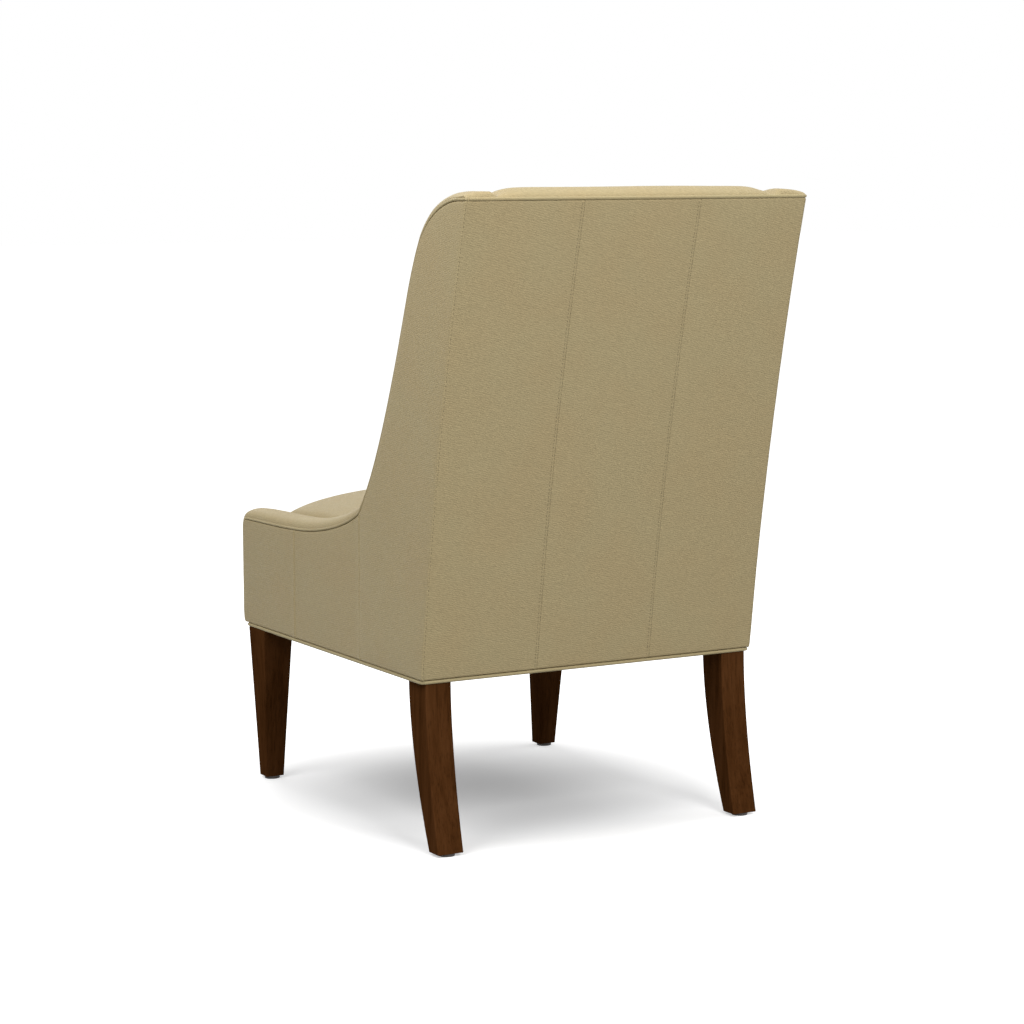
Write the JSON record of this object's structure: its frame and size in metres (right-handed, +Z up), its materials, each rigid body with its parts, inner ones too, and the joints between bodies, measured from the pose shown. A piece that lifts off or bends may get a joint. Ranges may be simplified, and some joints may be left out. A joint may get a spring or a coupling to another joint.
{
  "type": "upholstered dining chair",
  "caption": "Leather dining chair with sloping arms, tall wings, panelled outside back, welted edges, sabre rear legs and tapered front legs.",
  "frame": {"origin": "on the floor, under the centre of the chair's box", "axes": "+Z up, -Y the way the sitter faces, +X the sitter's left"},
  "size_m": [0.6044, 0.805, 1.018],
  "materials": {
    "leather": "fine pebble grain, satin",
    "welt": "fine pebble grain, satin",
    "leg_wood": "espresso stain, satin lacquer",
    "plywood": "raw plywood",
    "frame_wood": "raw hardwood",
    "foam": "open-cell foam",
    "batting": "fibre batting",
    "webbing": "woven webbing",
    "deck_cloth": "woven jute cloth",
    "dust_cloth": "black nonwoven cloth",
    "glide": "moulded nylon",
    "steel": "zinc plated"
  },
  "bodies": {
    "root": {"side_frame_left": "plywood", "side_frame_right": "plywood", "front_rail": "frame_wood", "rear_rail": "frame_wood", "seat_cleat_left": "frame_wood", "seat_cleat_right": "frame_wood", "back_post_left": "frame_wood", "back_post_right": "frame_wood", "lower_back_rail": "frame_wood", "top_rail": "frame_wood", "corner_blocks": "frame_wood", "frame_dowels": "frame_wood", "frame_screws": "steel", "seat_straps_lengthwise": "webbing", "seat_straps_crosswise": "webbing", "seat_deck": "deck_cloth", "back_webbing": "webbing", "back_burlap": "deck_cloth", "seat_foam": "foam", "front_pad": "foam", "back_foam": "foam", "arm_wing_foam_left": "foam", "arm_wing_foam_right": "foam", "arm_front_pad_left": "foam", "arm_front_pad_right": "foam", "side_batting_left": "batting", "side_batting_right": "batting", "back_batting": "batting", "seat_cover": "leather", "inside_back_cover": "leather", "arm_wing_cover_left": "leather", "arm_wing_cover_right": "leather", "arm_front_cover_left": "leather", "arm_front_cover_right": "leather", "side_panel_front_left": "leather", "side_panel_front_right": "leather", "side_panel_middle_left": "leather", "side_panel_middle_right": "leather", "side_panel_rear_left": "leather", "side_panel_rear_right": "leather", "back_panel_left": "leather", "back_panel_centre": "leather", "back_panel_right": "leather", "side_welt_left": "welt", "side_welt_right": "welt", "back_welt": "welt", "base_welt": "welt", "dust_cover": "dust_cloth", "leg_front_left": "leg_wood", "leg_front_right": "leg_wood", "leg_rear_left": "leg_wood", "leg_rear_right": "leg_wood", "glides": "glide", "glide_nails": "steel", "leg_bolts": "steel", "leg_tee_nuts": "steel"}
  },
  "joints": []
}
